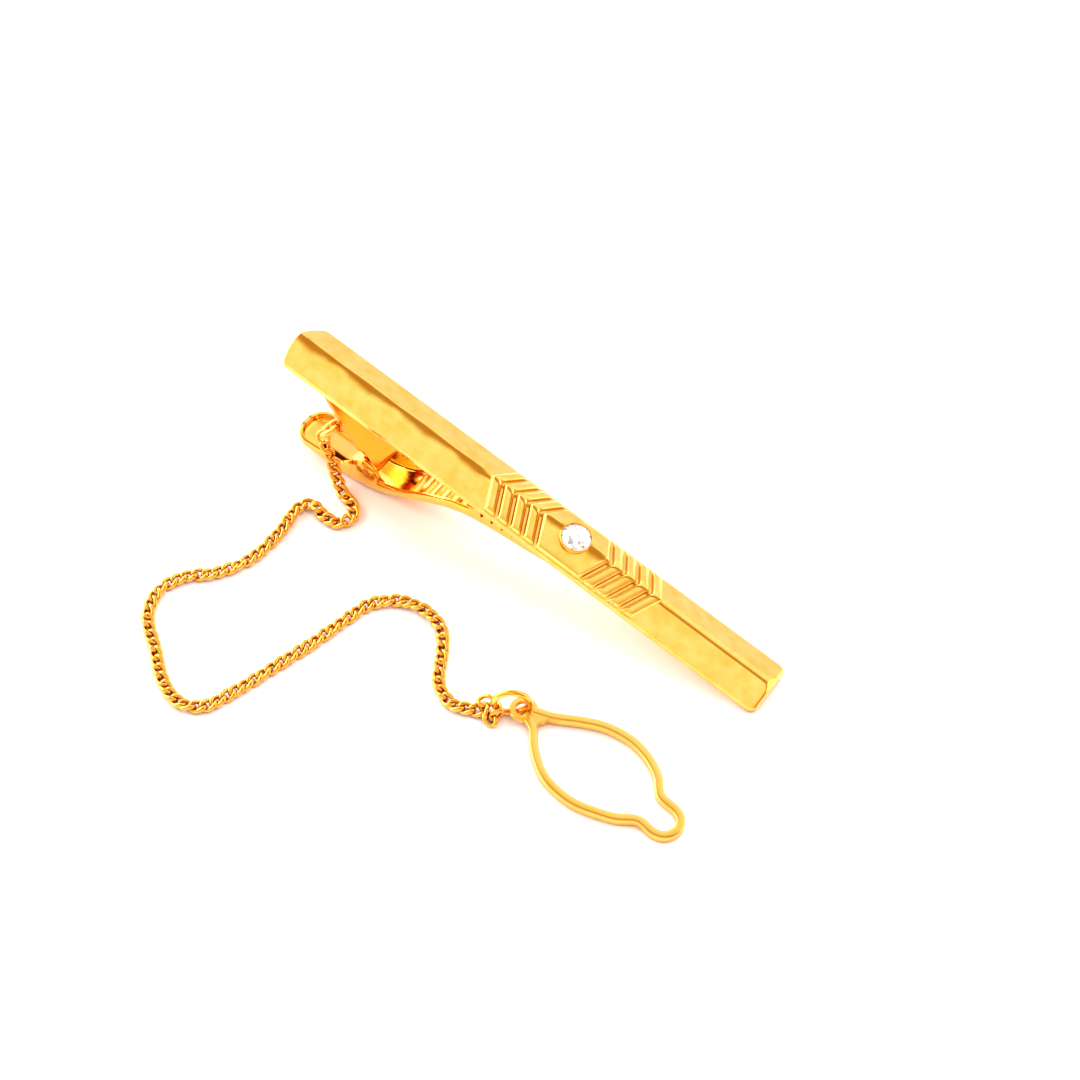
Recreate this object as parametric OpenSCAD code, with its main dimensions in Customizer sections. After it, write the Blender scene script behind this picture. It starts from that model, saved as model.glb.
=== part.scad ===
// Tie bar with a ridged front, a round stone, a sprung lever clip and a chained button loop.
// The piece stands as laid on a table: on the heel of its lever and on the far end of its bar.

/* [Bar] */
// Length of the front bar
bar_len = 58; // [50:1:64]
// Width of the front bar
bar_w = 6; // [5.6:0.1:7]
// Height of the bar's straight side wall
edge_h = 0.7; // [0.6:0.05:0.9]
// Height of the ridge over the bar's flat back
ridge_h = 2.03; // [1.9:0.01:2.2]

/* [Decoration] */
// Place of the stone along the bar, from the bar's middle
stone_x = 5.15; // [4:0.05:6]
// Diameter of the stone at its girdle
stone_d = 3; // [2.6:0.1:3]
// Chevron bars on each side of the pad
chevrons = 4; // [2:1:5]
// Height of the raised pad and chevrons over the faces
relief = 0.28; // [0.2:0.02:0.4]

/* [Clip] */
// Thickness of the lever's sheet
sheet = 0.45; // [0.4:0.05:0.5]
// Width of the lever over its side walls
lever_w = 4.7; // [4.6:0.1:5]
// Diameter of the hinge pin
pin_d = 0.84; // [0.8:0.02:0.9]

/* [Chain] */
// Thickness of the chain
chain_d = 1; // [0.8:0.05:1.1]

/* [Hidden] */
$fn = 64;
eps = 0.01;

// Rest pose: the lever's heel holds the left half of the bar off the table.
heel_x = -17.5;
heel_drop = 11.5;
rest_tilt = atan(heel_drop / (bar_len / 2 - heel_x));
lift = bar_len / 2 * sin(rest_tilt);

// Front bar
ridge_r = 0.8;
thumb_side_r = 0.35;
far_side_r = 0.9;
hip_run = 0.7;
hip_drop = 0.53;
hip_tilt = atan(hip_drop / hip_run);
ridge_c_z = ridge_h - ridge_r;
face_tilt = atan((ridge_c_z - edge_h) / (bar_w / 2)) + asin(ridge_r / norm([bar_w / 2, ridge_c_z - edge_h]));
plan_h = 4;

// Raised pad and chevrons
deco_half_w = bar_w / 2 - 0.2;
pad_half = 4.1;
chevron_pitch = 1.58;
chevron_w = 1.08;
chevron_lean = 0.52;

// Setting and stone
setting_wall = 0.3;
setting_r = stone_d / 2 + setting_wall;
seat_z = 0.5;
setting_top = 2.35;
girdle_z = 2.05;
girdle_h = 0.1;
crown_h = 0.42;
table_r = 0.55 * stone_d / 2;
pavilion_h = 1.25;
ledge = 0.3;

// Hinge bracket: foot, hairpin bend, sloping leg and knuckle barrel
strip = 0.5;
pin = [heel_x, -8.35];
leg_slope = 43;
leg_dir = [-cos(leg_slope), sin(leg_slope)];
leg_up = [sin(leg_slope), cos(leg_slope)];
barrel_r = 0.95;
bend_in = 0.5;
bend_out = bend_in + strip;
bend_n = barrel_r + bend_in;
bend_c = [pin[0] + (bend_n - leg_up[1] * (-bend_out - pin[1])) / leg_up[0], -bend_out];
bend_s = (bend_c - pin) * leg_dir;
foot_end = -17;
leg_half_w = 2.15;
knuckle_half_w = 1.8;
taper_s = [2.1, 2.7];
lug_s = 5.7;
lug_n = -0.47;
lug_r = 0.75;
lug_hole_r = 0.4;
lug_y = -1.85;
lug_t = 0.5;

// Lever
pin_fit = 0.04;
pin_press = 0.005;
pin_head = 0.05;
lever_half_w = lever_w / 2;
inner_half_w = lever_half_w - sheet;
ear_r = 1.5;
thumb_end = -26.75;
thumb_corner_r = 1.5;
thumb_end_z = ground(thumb_end) + 1.3;
jaw_end = 6;
heel_end = -17.3;
jaw_bottom = [
    [heel_end, ground(heel_end)], [-15.3, -10.6], [-12.35, -8.4], [-8.1, -5.1], [-4.6, -3.5], [1.5, -2.3],
    [jaw_end, -1.45]
];
jaw_rim = [[-15.1, -8.45], [-11.55, -6.97], [-9.84, -3.3], [-5.5, -1.9]];
tooth_pitch = 1.25;
teeth = 9;
first_tip = 5.35;
tooth_tip = -0.06;
tip_flat = 0.12;
rib_base = 0.7;
rib_h = 0.45;
ribs = 15;
rib_start = 5.2;

// Leaf spring between the leg and the lever's floor
leaf_t = 0.25;
leaf_half_w = 1.35;
leaf_touch = [6, barrel_r - strip - leaf_t / 2 - eps];
leaf_knots = [
    in_leg(leaf_touch), in_leg([4.2, leaf_touch[1] - 0.05]), [-19.35, -6.85], [-18.78, -8.6],
    [-18.95, -10.3], [-20.3, -11.2], [-22.2, -11.35], [-24.3, -11.5]
];

// Rings and links of the chain
small_wire = 0.5;
clip_ring_r = 1.1;
clip_ring_dir = [-0.75, -0.66];
clip_ring_y = -2.15;
loop_ring_r = 1.7;
link_len = 2;
link_w = 1.5;
link_wire = 0.35;
first_link_at = [-23.75, -3, 6];
first_link_turn = 37;

// Button loop, seen in plan along its own axis from the eyelet
loop_at = [10.1, -15.43, 0];
loop_turn = -7.34;
loop_t = 0.88;
loop_outer_r = 9.13;
loop_inner_r = 8.5;
loop_mid = 9.1;
loop_arc_offset = 4.48;
nose_at = 17.5;
nose_side = -0.15;
nose_r = 1.95;
nose_hole_r = 1;
neck_start = 15.5;
eyelet_r = 1.4;
eyelet_hole_r = 0.75;
eyelet_t = 0.45;
eyelet_tilt = 0.55;
eyelet_lift = (nose_at + nose_r) * sin(eyelet_tilt);
loop_ring_turn = 35.1;
loop_ring_out = 1.1;
loop_ring_z = loop_ring_r + small_wire / 2;
loop_ring_dir = [-cos(loop_ring_turn), -sin(loop_ring_turn), 0];
loop_ring_at = loop_at + loop_ring_out * loop_ring_dir + [0, 0, loop_ring_z];
// The last link grips the ring's outer side, part way down
grip_angle = 30;
grip_out = cos(grip_angle) * loop_ring_dir - [0, 0, sin(grip_angle)];
last_link_reach = link_len / 2 - link_wire - small_wire / 2 - 0.02;
last_link_at = loop_ring_at + (loop_ring_r + last_link_reach) * grip_out;

// The chain's route, from below the clip's first link to the loop's last link.
chain_z = chain_d / 2;
chain_route = [
    [-23.7, -3.1, 5], [-23.2, -3.1, 4.1], [-22.6, -3.3, 2.8], [-21.8, -3.8, 1.4], [-20.5, -4.5, chain_z],
    [-18.9, -5.1, chain_z], [-17.9, -6.3, chain_z], [-18.6, -7.8, chain_z], [-20.5, -7.9, chain_z],
    [-22.2, -7.4, chain_z], [-23.2, -8.8, chain_z], [-22.7, -12.5, chain_z], [-23, -16.5, chain_z],
    [-24.7, -19.8, chain_z], [-27, -22.1, chain_z], [-27.9, -24.9, chain_z], [-26.6, -27.9, chain_z],
    [-23.5, -30.3, chain_z], [-20.7, -32.5, chain_z], [-17.8, -33.6, chain_z], [-15.3, -32.6, chain_z],
    [-13.9, -29.3, chain_z], [-12.6, -25, chain_z], [-11.4, -20.9, chain_z], [-10.5, -17, chain_z],
    [-9.6, -13.9, chain_z], [-7.4, -11.9, chain_z], [-4.8, -11.4, chain_z], [-2.2, -12.2, chain_z],
    [-0.4, -14.3, chain_z], [0.8, -16.5, chain_z], [2.1, -18, chain_z], [4, -18.7, chain_z],
    [5.8, -18.2, chain_z], [6.9, -17.7, chain_z]
];
chain_rings_per_step = 2;
chain_sides = 8;

// Sideways shift that brings the bar and clip to the middle of the frame
bar_tip_x = in_world([bar_len / 2, ridge_h - hip_drop])[0];
thumb_tip_x = in_world([thumb_end, thumb_end_z])[0];
shift_x = -(bar_tip_x + thumb_tip_x) / 2;

// Height of the table under the bar's back, in the bar's own frame
function ground(x) = -(bar_len / 2 - x) * tan(rest_tilt);

// A side-view point of the bar's frame, as it stands on the table
function in_world(p) = [
    p[0] * cos(rest_tilt) + p[1] * sin(rest_tilt),
    -p[0] * sin(rest_tilt) + p[1] * cos(rest_tilt) + lift
];

// A side-view point given along the leg and away from it, in the bar's frame
function in_leg(p) = pin + p[0] * leg_dir + p[1] * leg_up;

// A cubic curve through its first and last point
function curve_point(c, t) =
    pow(1 - t, 3) * c[0] + 3 * pow(1 - t, 2) * t * c[1] + 3 * (1 - t) * t * t * c[2] + pow(t, 3) * c[3];
function curve(c, steps) = [for (i = [0:steps]) curve_point(c, i / steps)];

// A smooth curve through all the knots of a path
function at_knot(k, i) = k[max(0, min(len(k) - 1, i))];
function spline_point(k, i, t) = let (
    a = at_knot(k, i - 1),
    b = k[i],
    c = k[i + 1],
    d = at_knot(k, i + 2)
) 0.5 * (2 * b + t * (c - a) + t * t * (2 * a - 5 * b + 4 * c - d) + t * t * t * (3 * b - a - 3 * c + d));
function smooth_path(k, steps) = concat(
    [for (i = [0:len(k) - 2], j = [0:steps - 1]) spline_point(k, i, j / steps)],
    [k[len(k) - 1]]
);

// The path moved sideways, to its left, by a distance
function unit(v) = v / norm(v);
function heading(p, i) = unit(at_knot(p, i + 1) - at_knot(p, i - 1));
function offset_path(p, gap) = [for (i = [0:len(p) - 1]) p[i] + gap * [-heading(p, i)[1], heading(p, i)[0]]];
function backwards(p) = [for (i = [len(p) - 1:-1:0]) p[i]];

// Lever outlines
jaw_steps = 4;
rim_steps = 8;
lever_bottom = concat(
    [[thumb_end, thumb_end_z], [-24.7, ground(-24.7) + 0.9], [-22.5, ground(-22.5) + 0.4], [-20, ground(-20)]],
    smooth_path(jaw_bottom, jaw_steps)
);
lever_floor = offset_path(lever_bottom, sheet);
function tip_z(x) = tooth_tip - 0.12 * max(0, -1 - x);
function valley_z(x) = min(-0.62, -1.1 - 0.133 * (1 - x));
tooth_row = concat([[jaw_end, valley_z(jaw_end)]], [
    for (i = [0:teeth - 1]) let (
        x = first_tip - i * tooth_pitch,
        valley = x - tip_flat / 2 - tooth_pitch / 2
    ) each concat(
        [[x + tip_flat / 2, tip_z(x)], [x - tip_flat / 2, tip_z(x)]],
        i < teeth - 1 ? [[valley, valley_z(valley)]] : []
    )
]);
thumb_rim = [
    [-18.6, -7.3], [-19.3, -8], [-19.9, -9.2], [-20.6, -10.15], [-21.6, -10.4], [-23, -10.6],
    [thumb_end, -11.3]
];
lever_outline = concat(lever_bottom, tooth_row, backwards(curve(jaw_rim, rim_steps)), [[-16.3, -8.9]], thumb_rim);

// Turns a side-view drawing to stand along the bar, as wide as asked and centred on y
module side_view(width, y = 0) {
    translate([0, y, 0])
        rotate([90, 0, 0])
            linear_extrude(height = width, center = true) children();
}

// Puts a piece drawn in the bar's frame on the table
module on_table() {
    translate([shift_x, 0, lift])
        rotate([0, rest_tilt, 0]) children();
}

// Puts a piece drawn on the table's plane beside the bar
module beside() {
    translate([shift_x, 0, 0]) children();
}

// Cross-section of the bar: side walls, two faces and a rounded ridge
module gable(rise, half_w) {
    tangent = ridge_r * [sin(face_tilt), cos(face_tilt)] + [0, ridge_c_z + rise];
    foot_z = tangent[1] - (half_w - tangent[0]) * tan(face_tilt);
    polygon([
        [-half_w, 0], [half_w, 0], [half_w, foot_z], tangent, [-tangent[0], tangent[1]], [-half_w, foot_z]
    ]);
    translate([0, ridge_c_z + rise])
        circle(r = ridge_r);
}

module gable_bar(from, to, rise, half_w) {
    translate([from, 0, 0])
        rotate([90, 0, 90])
            linear_extrude(height = to - from) gable(rise, half_w);
}

// A strip seen in plan, with its own corner radius at each end
module rounded_plan(from, to, half_w, from_r, to_r) {
    translate([from + from_r, -half_w])
        square([to - from - from_r - to_r, 2 * half_w]);
    for (end = [[from, from_r, 1], [to, to_r, -1]])
        translate([end[0], 0]) {
            translate([min(0, end[2] * end[1]), -half_w + end[1]])
                square([end[1], 2 * (half_w - end[1])]);
            for (side = [-1, 1])
                translate([end[2] * end[1], side * (half_w - end[1])])
                    circle(r = end[1]);
        }
}

// One chevron in plan, with its point away from the stone
module chevron(outer) {
    inner = outer - chevron_w;
    back = chevron_lean * bar_w / 2;
    polygon([
        [outer, 0], [outer - back, bar_w / 2], [inner - back, bar_w / 2], [inner, 0],
        [inner - back, -bar_w / 2], [outer - back, -bar_w / 2]
    ]);
}

module decoration_plan() {
    back = chevron_lean * bar_w / 2;
    polygon([
        [pad_half, 0], [pad_half - back, bar_w / 2], [back - pad_half, bar_w / 2], [-pad_half, 0],
        [back - pad_half, -bar_w / 2], [pad_half - back, -bar_w / 2]
    ]);
    for (side = [0, 1], k = [1:chevrons])
        mirror([side, 0])
            chevron(pad_half + k * chevron_pitch);
}

module decoration() {
    reach = pad_half + chevrons * chevron_pitch + 1;
    intersection() {
        gable_bar(stone_x - reach, stone_x + reach, relief, deco_half_w);
        translate([stone_x, 0, edge_h / 2])
            linear_extrude(height = plan_h) decoration_plan();
    }
}

// Cuts the small slanted facet at the far end of the ridge
module end_hip() {
    translate([bar_len / 2, 0, ridge_h - hip_drop])
        rotate([0, hip_tilt, 0])
            translate([-plan_h, -bar_w / 2, 0])
                cube([2 * plan_h, bar_w, plan_h]);
}

module front_bar() {
    color("gold") on_table()
        difference() {
            union() {
                intersection() {
                    gable_bar(-bar_len / 2, bar_len / 2, 0, bar_w / 2);
                    linear_extrude(height = plan_h)
                        rounded_plan(-bar_len / 2, bar_len / 2, bar_w / 2, thumb_side_r, far_side_r);
                }
                decoration();
            }
            end_hip();
            translate([stone_x, 0, seat_z])
                cylinder(r = setting_r + eps, h = plan_h);
        }
}

module stone_bezel() {
    ledge_r = stone_d / 2 - ledge;
    color("goldenrod") on_table()
        translate([stone_x, 0, 0])
            rotate_extrude()
                polygon([
                    [ledge_r, seat_z + eps], [setting_r, seat_z + eps], [setting_r, setting_top - 0.08],
                    [setting_r - 0.08, setting_top], [stone_d / 2 + 0.08, setting_top],
                    [stone_d / 2 + eps, setting_top - 0.08], [stone_d / 2 + eps, girdle_z - eps],
                    [ledge_r, girdle_z - eps - ledge * pavilion_h / (stone_d / 2)]
                ]);
}

module stone() {
    color("white") on_table()
        translate([stone_x, 0, 0])
            hull() {
                translate([0, 0, girdle_z + girdle_h + crown_h - eps])
                    cylinder(r = table_r, h = eps, $fn = 8);
                translate([0, 0, girdle_z])
                    cylinder(r = stone_d / 2, h = girdle_h, $fn = 32);
                translate([0, 0, girdle_z - pavilion_h])
                    cylinder(r = 0.03, h = eps, $fn = 8);
            }
}

// The leg seen square on, narrower at the knuckle
module leg_plan() {
    polygon([
        [0, -knuckle_half_w], [taper_s[0], -knuckle_half_w], [taper_s[1], -leg_half_w],
        [bend_s, -leg_half_w], [bend_s, leg_half_w], [taper_s[1], leg_half_w],
        [taper_s[0], knuckle_half_w], [0, knuckle_half_w]
    ]);
}

// Places a piece drawn along the leg: x up the leg, z square to it
module along_leg() {
    translate([pin[0], 0, pin[1]])
        mirror([1, 0, 0])
            rotate([0, -leg_slope, 0]) children();
}

module hinge_bracket() {
    color("darkgoldenrod") on_table()
        difference() {
            union() {
                side_view(2 * leg_half_w)
                    translate([bend_c[0], -strip])
                        square([foot_end - bend_c[0], strip]);
                translate([bend_c[0], 0, bend_c[1]])
                    rotate([90, 0, 0])
                        rotate([0, 0, 90])
                            rotate_extrude(angle = 180 - leg_slope)
                                translate([bend_in, -leg_half_w])
                                    square([strip, 2 * leg_half_w]);
                along_leg()
                    translate([0, 0, barrel_r - strip])
                        linear_extrude(height = strip) leg_plan();
                translate([pin[0], 0, pin[1]])
                    rotate([90, 0, 0])
                        cylinder(r = barrel_r, h = 2 * knuckle_half_w, center = true);
                along_leg()
                    side_view(lug_t, lug_y) {
                        translate([lug_s, lug_n])
                            circle(r = lug_r);
                        translate([lug_s - lug_r, lug_n])
                            square([2 * lug_r, barrel_r - strip - lug_n + eps]);
                    }
            }
            translate([pin[0], 0, pin[1]])
                rotate([90, 0, 0])
                    cylinder(d = pin_d + 2 * pin_press, h = bar_w, center = true);
            along_leg()
                translate([lug_s, lug_y, lug_n])
                    rotate([90, 0, 0])
                        cylinder(r = lug_hole_r, h = 2 * lug_t, center = true);
        }
}

module hinge_pin() {
    color("khaki") on_table()
        translate([pin[0], 0, pin[1]])
            rotate([90, 0, 0])
                cylinder(d = pin_d, h = lever_w + 2 * pin_head, center = true);
}

// The hollow of the lever over its floor
module lever_hollow() {
    wall_top = 4;
    inner_end = thumb_end + sheet;
    intersection() {
        side_view(lever_w)
            polygon(concat(lever_floor, [[jaw_end + 1, lever_floor[len(lever_floor) - 1][1]],
                [jaw_end + 1, wall_top], [thumb_end, wall_top]]));
        translate([0, 0, -bar_len / 2])
            linear_extrude(height = bar_len)
                rounded_plan(inner_end, jaw_end + 2, inner_half_w, thumb_corner_r - sheet, sheet);
    }
}

// Cross ribs that grip the tie, standing on the jaw's floor
module jaw_ribs() {
    for (i = [0:ribs - 1]) {
        x = rib_start - i * tooth_pitch;
        z = lookup(x, lever_floor);
        lean = (lookup(x + rib_base / 2, lever_floor) - lookup(x - rib_base / 2, lever_floor)) / 2;
        side_view(2 * inner_half_w + eps)
            polygon([
                [x - rib_base / 2, z - lean - sheet / 4], [x + rib_base / 2, z + lean - sheet / 4],
                [x, z + rib_h]
            ]);
    }
}

module clip_lever() {
    color("orange") on_table()
        difference() {
            union() {
                difference() {
                    intersection() {
                        side_view(lever_w) {
                            polygon(lever_outline);
                            translate(pin)
                                circle(r = ear_r);
                        }
                        translate([0, 0, -bar_len / 2])
                            linear_extrude(height = bar_len)
                                rounded_plan(thumb_end, jaw_end, lever_half_w, thumb_corner_r, sheet);
                    }
                    lever_hollow();
                }
                jaw_ribs();
            }
            translate([pin[0], 0, pin[1]])
                rotate([90, 0, 0])
                    cylinder(d = pin_d + 2 * pin_fit, h = bar_w, center = true);
        }
}

module leaf_spring() {
    middle = smooth_path(leaf_knots, 5);
    color("lightgray") on_table()
        side_view(2 * leaf_half_w)
            polygon(concat(offset_path(middle, leaf_t / 2), backwards(offset_path(middle, -leaf_t / 2))));
}

// A round wire ring about the local z axis
module wire_ring(radius, wire) {
    rotate_extrude()
        translate([radius, 0])
            circle(d = wire, $fn = 32);
}

// A long link with straight sides, lying in the local xy plane along x
module oval_link() {
    bend_r = (link_w - link_wire) / 2;
    straight = link_len - link_w;
    for (end = [0, 1])
        rotate([0, 0, end * 180])
            translate([straight / 2, 0, 0])
                rotate([0, 0, -90])
                    rotate_extrude(angle = 180)
                        translate([bend_r, 0])
                            circle(d = link_wire, $fn = 32);
    for (side = [-1, 1])
        translate([0, side * bend_r, 0])
            rotate([0, 90, 0])
                cylinder(d = link_wire, h = straight, center = true, $fn = 32);
}

module clip_ring() {
    lug = in_world(in_leg([lug_s, lug_n]));
    center = lug + clip_ring_r * unit(clip_ring_dir);
    color("gold") beside()
        translate([center[0], clip_ring_y, center[1]])
            rotate([0, 90 - atan2(clip_ring_dir[1], clip_ring_dir[0]), 0])
                rotate([0, 90, 0])
                    wire_ring(clip_ring_r, small_wire);
}

module chain_first_link() {
    color("gold") beside()
        translate(first_link_at)
            rotate([90, 90, first_link_turn]) oval_link();
}

module chain() {
    path = smooth_path(chain_route, chain_rings_per_step);
    rings = len(path);
    turn = 360 / chain_sides;
    points = [
        for (i = [0:rings - 1]) let (
            ahead = heading(path, i),
            side = unit(cross(ahead, abs(ahead[2]) > 0.9 ? [1, 0, 0] : [0, 0, 1])),
            up = cross(side, ahead)
        ) each [
            for (k = [0:chain_sides - 1])
                path[i] + chain_d / 2 * (cos((k + 0.5) * turn) * side + sin((k + 0.5) * turn) * up)
        ]
    ];
    walls = [
        for (i = [0:rings - 2], k = [0:chain_sides - 1]) let (
            a = i * chain_sides + k,
            b = i * chain_sides + (k + 1) % chain_sides
        ) [a, b, b + chain_sides, a + chain_sides]
    ];
    start_cap = [[for (k = [chain_sides - 1:-1:0]) k]];
    end_cap = [[for (k = [0:chain_sides - 1]) (rings - 1) * chain_sides + k]];
    color("gold") beside()
        polyhedron(points = points, faces = concat(walls, start_cap, end_cap), convexity = 10);
}

module chain_last_link() {
    color("gold") beside()
        translate(last_link_at)
            rotate([0, -grip_angle, loop_ring_turn]) oval_link();
}

module loop_ring() {
    color("gold") beside()
        translate(loop_ring_at)
            rotate([90, 0, loop_ring_turn]) wire_ring(loop_ring_r, small_wire);
}

// The lens where two equal circles cross, seen in plan
module lens(radius) {
    intersection_for (side = [-1, 1])
        translate([loop_mid, side * loop_arc_offset])
            circle(r = radius, $fn = 128);
}

module button_loop() {
    color("goldenrod") beside()
        translate([loop_at[0], loop_at[1], eyelet_lift])
            rotate([0, eyelet_tilt, loop_turn])
                difference() {
                    union() {
                        linear_extrude(height = loop_t) {
                            difference() {
                                lens(loop_outer_r);
                                circle(r = eyelet_r);
                            }
                            translate([nose_at, nose_side])
                                circle(r = nose_r);
                        }
                        translate([0, 0, loop_t - eyelet_t])
                            cylinder(r = eyelet_r, h = eyelet_t);
                    }
                    translate([0, 0, -loop_t])
                        linear_extrude(height = 3 * loop_t) {
                            difference() {
                                lens(loop_inner_r);
                                circle(r = eyelet_r);
                            }
                            translate([nose_at, nose_side])
                                circle(r = nose_hole_r);
                            translate([neck_start, nose_side - nose_hole_r])
                                square([nose_at - neck_start, 2 * nose_hole_r]);
                            circle(r = eyelet_hole_r);
                        }
                }
}

front_bar();
stone_bezel();
stone();
hinge_bracket();
hinge_pin();
clip_lever();
leaf_spring();
clip_ring();
chain_first_link();
chain();
chain_last_link();
loop_ring();
button_loop();
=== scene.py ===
"""A gold tie bar with a sprung clip, a curb chain and a button loop, lying on a pale table."""

import math

import bmesh
import bpy
from mathutils import Euler, Matrix, Vector


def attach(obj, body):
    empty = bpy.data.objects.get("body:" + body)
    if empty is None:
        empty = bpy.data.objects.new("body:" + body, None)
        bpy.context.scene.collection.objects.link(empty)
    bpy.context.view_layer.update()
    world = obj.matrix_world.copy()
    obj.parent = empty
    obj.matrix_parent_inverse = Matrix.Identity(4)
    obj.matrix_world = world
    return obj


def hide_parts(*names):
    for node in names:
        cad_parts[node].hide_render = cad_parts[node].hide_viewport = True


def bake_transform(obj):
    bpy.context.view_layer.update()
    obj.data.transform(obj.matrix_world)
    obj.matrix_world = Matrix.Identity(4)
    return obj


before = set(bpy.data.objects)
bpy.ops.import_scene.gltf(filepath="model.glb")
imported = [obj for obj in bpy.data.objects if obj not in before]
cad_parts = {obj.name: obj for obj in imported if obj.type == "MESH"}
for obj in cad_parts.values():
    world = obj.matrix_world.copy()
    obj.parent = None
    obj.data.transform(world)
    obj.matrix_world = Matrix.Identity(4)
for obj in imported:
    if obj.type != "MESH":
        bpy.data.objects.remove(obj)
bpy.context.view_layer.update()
MM = 0.001


# ---------------------------------------------------------------- camera

LOOK_AT = Vector((-0.0004, 0.0026, 0.0))
VIEW_AZIMUTH = math.radians(-54.91)
VIEW_ELEVATION = math.radians(52.8)
VIEW_DISTANCE = 0.2113
LENS = 69.07


def add_camera():
    """The camera stands high, in front of the bar and towards its far end."""
    away = Vector(
        (
            math.cos(VIEW_ELEVATION) * math.cos(VIEW_AZIMUTH),
            math.cos(VIEW_ELEVATION) * math.sin(VIEW_AZIMUTH),
            math.sin(VIEW_ELEVATION),
        )
    )
    data = bpy.data.cameras.new("camera")
    data.lens = LENS
    data.sensor_width = 36
    data.clip_start = 0.01
    data.clip_end = 10
    camera = bpy.data.objects.new("camera", data)
    camera.location = LOOK_AT + VIEW_DISTANCE * away
    camera.rotation_euler = (-away).to_track_quat("-Z", "Y").to_euler()
    bpy.context.scene.collection.objects.link(camera)
    bpy.context.scene.camera = camera


add_camera()


# ---------------------------------------------------------------- helpers


def smooth_path(knots, steps):
    """Points on a smooth curve through all the knots."""
    last = len(knots) - 1
    points = []
    for i in range(last):
        a, b, c, d = (knots[min(max(k, 0), last)] for k in (i - 1, i, i + 1, i + 2))
        slope = c - a
        bend = 2 * a - 5 * b + 4 * c - d
        twist = 3 * b - a - 3 * c + d
        for j in range(steps):
            t = j / steps
            points.append(0.5 * (2 * b + t * slope + t * t * bend + t**3 * twist))
    points.append(knots[last])
    return points


def add_mesh(name, points, faces, material, body, smooth=True):
    """A mesh piece that rides on a body."""
    data = bpy.data.meshes.new(name)
    data.from_pydata([tuple(p) for p in points], [], faces)
    data.validate()
    data.polygons.foreach_set("use_smooth", [smooth] * len(data.polygons))
    data.materials.append(material)
    piece = bpy.data.objects.new(name, data)
    bpy.context.scene.collection.objects.link(piece)
    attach(piece, body)
    return piece


# ---------------------------------------------------------------- materials


def node_material(name):
    material = bpy.data.materials.new(name)
    material.use_nodes = True
    tree = material.node_tree
    return material, tree, tree.nodes["Principled BSDF"]


def noise(tree, place, scale, detail):
    """Noise over the object's own coordinates."""
    node = tree.nodes.new("ShaderNodeTexNoise")
    node.inputs["Scale"].default_value = scale
    node.inputs["Detail"].default_value = detail
    tree.links.new(place.outputs["Object"], node.inputs["Vector"])
    return node.outputs["Fac"]


def bump(tree, height, strength, distance):
    """A bump node over a height."""
    node = tree.nodes.new("ShaderNodeBump")
    node.inputs["Strength"].default_value = strength
    node.inputs["Distance"].default_value = distance
    tree.links.new(height, node.inputs["Height"])
    return node


def spread(tree, source, low, high, to_low=0, to_high=1):
    """A value moved from low..high to to_low..to_high."""
    node = tree.nodes.new("ShaderNodeMapRange")
    node.inputs["From Min"].default_value = low
    node.inputs["From Max"].default_value = high
    node.inputs["To Min"].default_value = to_low
    node.inputs["To Max"].default_value = to_high
    tree.links.new(source, node.inputs["Value"])
    return node.outputs["Result"]


def blend_colours(tree, amount, first, second):
    """A blend of two colours, each of them fixed or another node's output."""
    node = tree.nodes.new("ShaderNodeMix")
    node.data_type = "RGBA"
    tree.links.new(amount, node.inputs["Factor"])
    for socket, colour in (("A", first), ("B", second)):
        if isinstance(colour, tuple):
            node.inputs[socket].default_value = (*colour, 1)
        else:
            tree.links.new(colour, node.inputs[socket])
    return node.outputs["Result"]


def ramp_node(tree, stops):
    """A colour ramp over (place, colour) stops."""
    node = tree.nodes.new("ShaderNodeValToRGB")
    ramp = node.color_ramp
    for place, shade in stops[1:-1]:
        ramp.elements.new(place)
    for stop, (place, shade) in zip(ramp.elements, stops):
        stop.position = place
        stop.color = (*shade, 1)
    return node


CLOUD_SCALE, CLOUD_DETAIL = 180, 4
RIPPLE_SCALE, RIPPLE_DETAIL, RIPPLE_DEPTH = 1100, 3, 0.02 * MM
WAVE_SCALE, WAVE_DETAIL, WAVE_DEPTH = 130, 1, 0.16 * MM
CREVICE_SAMPLES = 6
# Painted shade colours, mixed into the gold by ambient occlusion where a spot is hidden: in crevices, in the
# chain's holes and on the bracket under the bar
PAINTED_CREVICE_SHADE = (0.62, 0.2, 0.02)
CHAIN_PAINTED_SHADE = (0.42, 0.07, 0.005)
BRACKET_PAINTED_SHADE = (0.8, 0.12, 0.003)

# How open a spot is where the painted crevice shade is full, and where it ends
CREVICE_FULL, CREVICE_NONE = 0.35, 0.85


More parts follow.
